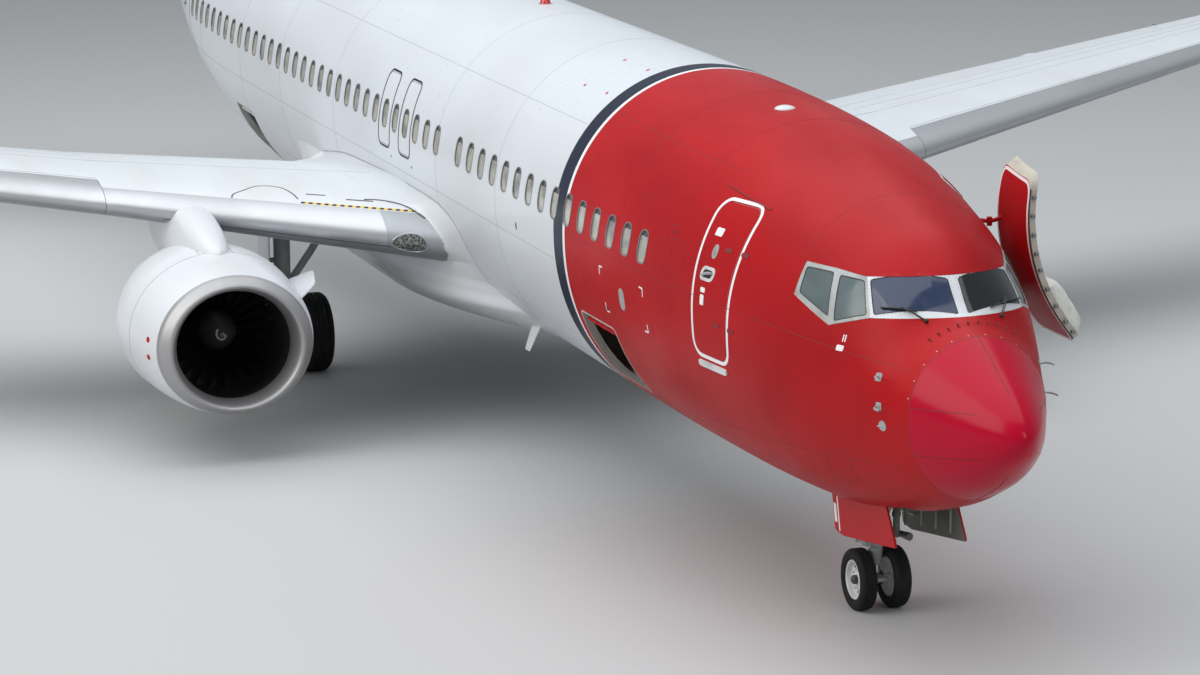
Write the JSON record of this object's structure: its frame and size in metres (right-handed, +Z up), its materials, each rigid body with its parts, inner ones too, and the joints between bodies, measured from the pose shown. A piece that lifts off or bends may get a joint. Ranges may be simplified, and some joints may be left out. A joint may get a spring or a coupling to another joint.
{
  "type": "narrow-body airliner",
  "caption": "Twin-jet narrow-body airliner parked on its gear, with its front entry door and hold doors open.",
  "frame": {"origin": "on the ground under the middle of the overall box, between the wheels and the tail", "axes": "+X forward along the ground, +Y to port, +Z up; the airframe stands 1.3 degrees nose down in it"},
  "size_m": [39.4056, 35.816, 12.5665],
  "materials": {
    "nose_cone": "gloss",
    "red_paint": "gloss paint",
    "white_paint": "gloss paint",
    "wing_paint": "satin paint",
    "bare_metal": "satin",
    "hot_metal": "satin",
    "fan_metal": "satin",
    "gear_paint": "gloss paint",
    "wheel_paint": "satin paint",
    "tyre_rubber": "matt",
    "cockpit_glass": "polished",
    "flight_deck_trim": "matt",
    "seat_cloth": "woven"
  },
  "bodies": {
    "airframe": {"radome": "nose_cone", "nose_section": "red_paint", "front_service_door": "red_paint", "front_entry_door": "red_paint", "left_nose_gear_door": "red_paint", "right_nose_gear_door": "red_paint", "fuselage": "white_paint", "belly_fairing": "white_paint", "vertical_fin": "white_paint", "left_stabiliser": "white_paint", "right_stabiliser": "white_paint", "rear_entry_door": "white_paint", "rear_service_door": "white_paint", "left_winglet": "white_paint", "left_nacelle": "white_paint", "left_pylon": "white_paint", "right_winglet": "white_paint", "right_nacelle": "white_paint", "right_pylon": "white_paint", "left_wing": "wing_paint", "left_inboard_flap": "wing_paint", "left_outboard_flap": "wing_paint", "right_wing": "wing_paint", "right_inboard_flap": "wing_paint", "right_outboard_flap": "wing_paint", "left_slats": "bare_metal", "left_inlet_cowl": "bare_metal", "right_slats": "bare_metal", "right_inlet_cowl": "bare_metal", "left_engine_core": "hot_metal", "right_engine_core": "hot_metal", "nose_gear_leg": "gear_paint", "left_main_gear_leg": "gear_paint", "right_main_gear_leg": "gear_paint", "flight_deck_windows": "cockpit_glass", "instrument_panel": "flight_deck_trim", "pilot_seats": "seat_cloth"},
    "nose_gear_lower": {"nose_gear_fork": "gear_paint"},
    "nose_wheel_pair": {"nose_wheels": "wheel_paint", "nose_left_tyre": "tyre_rubber", "nose_right_tyre": "tyre_rubber"},
    "left_main_wheel_pair": {"left_main_wheels": "wheel_paint", "left_inner_main_tyre": "tyre_rubber", "left_outer_main_tyre": "tyre_rubber"},
    "left_fan_rotor": {"left_fan": "fan_metal"},
    "left_aileron": {"left_aileron": "wing_paint"},
    "left_elevator": {"left_elevator": "white_paint"},
    "right_main_wheel_pair": {"right_main_wheels": "wheel_paint", "right_inner_main_tyre": "tyre_rubber", "right_outer_main_tyre": "tyre_rubber"},
    "right_fan_rotor": {"right_fan": "fan_metal"},
    "right_aileron": {"right_aileron": "wing_paint"},
    "right_elevator": {"right_elevator": "white_paint"},
    "rudder": {"rudder": "white_paint"},
    "forward_cargo_door": {"forward_cargo_door": "red_paint"},
    "aft_cargo_door": {"aft_cargo_door": "white_paint"},
    "left_front_overwing_exit": {"left_front_overwing_exit": "white_paint"},
    "left_rear_overwing_exit": {"left_rear_overwing_exit": "white_paint"},
    "right_front_overwing_exit": {"right_front_overwing_exit": "white_paint"},
    "right_rear_overwing_exit": {"right_rear_overwing_exit": "white_paint"}
  },
  "joints": [
    {"name": "nose_steering", "type": "hinge", "parent": "airframe", "child": "nose_gear_lower", "pos_m": [15.72908, 0, 0.34291], "axis": [0.0227, 0, 0.9997], "range_deg": [-78, 78]},
    {"name": "nose_wheel_spin", "type": "hinge", "parent": "nose_gear_lower", "child": "nose_wheel_pair", "pos_m": [15.72908, 0, 0.343], "axis": [0, 1, 0], "continuous": true},
    {"name": "left_main_wheel_spin", "type": "hinge", "parent": "airframe", "child": "left_main_wheel_pair", "pos_m": [0.1301, 2.8, 0.565], "axis": [0, 1, 0], "continuous": true},
    {"name": "right_main_wheel_spin", "type": "hinge", "parent": "airframe", "child": "right_main_wheel_pair", "pos_m": [0.1301, -2.8, 0.565], "axis": [0, 1, 0], "continuous": true},
    {"name": "left_fan_spin", "type": "hinge", "parent": "airframe", "child": "left_fan_rotor", "pos_m": [6.05797, 4.83, 1.54963], "axis": [0.9997, 0, -0.0227], "continuous": true},
    {"name": "right_fan_spin", "type": "hinge", "parent": "airframe", "child": "right_fan_rotor", "pos_m": [6.05797, -4.83, 1.54963], "axis": [0.9997, 0, -0.0227], "continuous": true},
    {"name": "left_aileron_hinge", "type": "hinge", "parent": "airframe", "child": "left_aileron", "pos_m": [-2.33165, 12.25, 3.87663], "axis": [-0.2967, 0.9493, 0.1041], "range_deg": [-20, 20]},
    {"name": "right_aileron_hinge", "type": "hinge", "parent": "airframe", "child": "right_aileron", "pos_m": [-2.33165, -12.25, 3.87663], "axis": [0.2967, 0.9493, -0.1041], "range_deg": [-20, 20]},
    {"name": "left_elevator_hinge", "type": "hinge", "parent": "airframe", "child": "left_elevator", "pos_m": [-16.45516, 1.17, 5.16094], "axis": [-0.4147, 0.9022, 0.119], "range_deg": [-19, 21]},
    {"name": "right_elevator_hinge", "type": "hinge", "parent": "airframe", "child": "right_elevator", "pos_m": [-16.45516, -1.17, 5.16094], "axis": [0.4147, 0.9022, -0.119], "range_deg": [-19, 21]},
    {"name": "rudder_hinge", "type": "hinge", "parent": "airframe", "child": "rudder", "pos_m": [-15.69476, 0, 6.31437], "axis": [-0.3378, 0, 0.9412], "range_deg": [-26, 26]},
    {"name": "forward_cargo_door_hinge", "type": "hinge", "parent": "airframe", "child": "forward_cargo_door", "pos_m": [10.78898, -1.64408, 2.59857], "axis": [0.9997, 0.0106, -0.0227], "range_deg": [-58, 0]},
    {"name": "aft_cargo_door_hinge", "type": "hinge", "parent": "airframe", "child": "aft_cargo_door", "pos_m": [-7.04643, -1.60494, 3.00331], "axis": [0.9994, -0.0278, -0.0227], "range_deg": [-58, 0]},
    {"name": "left_front_exit_hinge", "type": "hinge", "parent": "airframe", "child": "left_front_overwing_exit", "pos_m": [3.56846, 1.68211, 4.50888], "axis": [0.9997, 0, -0.0227], "range_deg": [0, 80]},
    {"name": "left_rear_exit_hinge", "type": "hinge", "parent": "airframe", "child": "left_rear_overwing_exit", "pos_m": [2.55272, 1.68211, 4.53193], "axis": [0.9997, 0, -0.0227], "range_deg": [0, 80]},
    {"name": "right_front_exit_hinge", "type": "hinge", "parent": "airframe", "child": "right_front_overwing_exit", "pos_m": [3.56846, -1.68211, 4.50888], "axis": [-0.9997, 0, 0.0227], "range_deg": [0, 80]},
    {"name": "right_rear_exit_hinge", "type": "hinge", "parent": "airframe", "child": "right_rear_overwing_exit", "pos_m": [2.55272, -1.68211, 4.53193], "axis": [-0.9997, 0, 0.0227], "range_deg": [0, 80]}
  ],
  "couplings": [
    {"joint": "right_aileron_hinge", "follows": "left_aileron_hinge", "ratio": -1},
    {"joint": "right_elevator_hinge", "follows": "left_elevator_hinge", "ratio": 1}
  ]
}
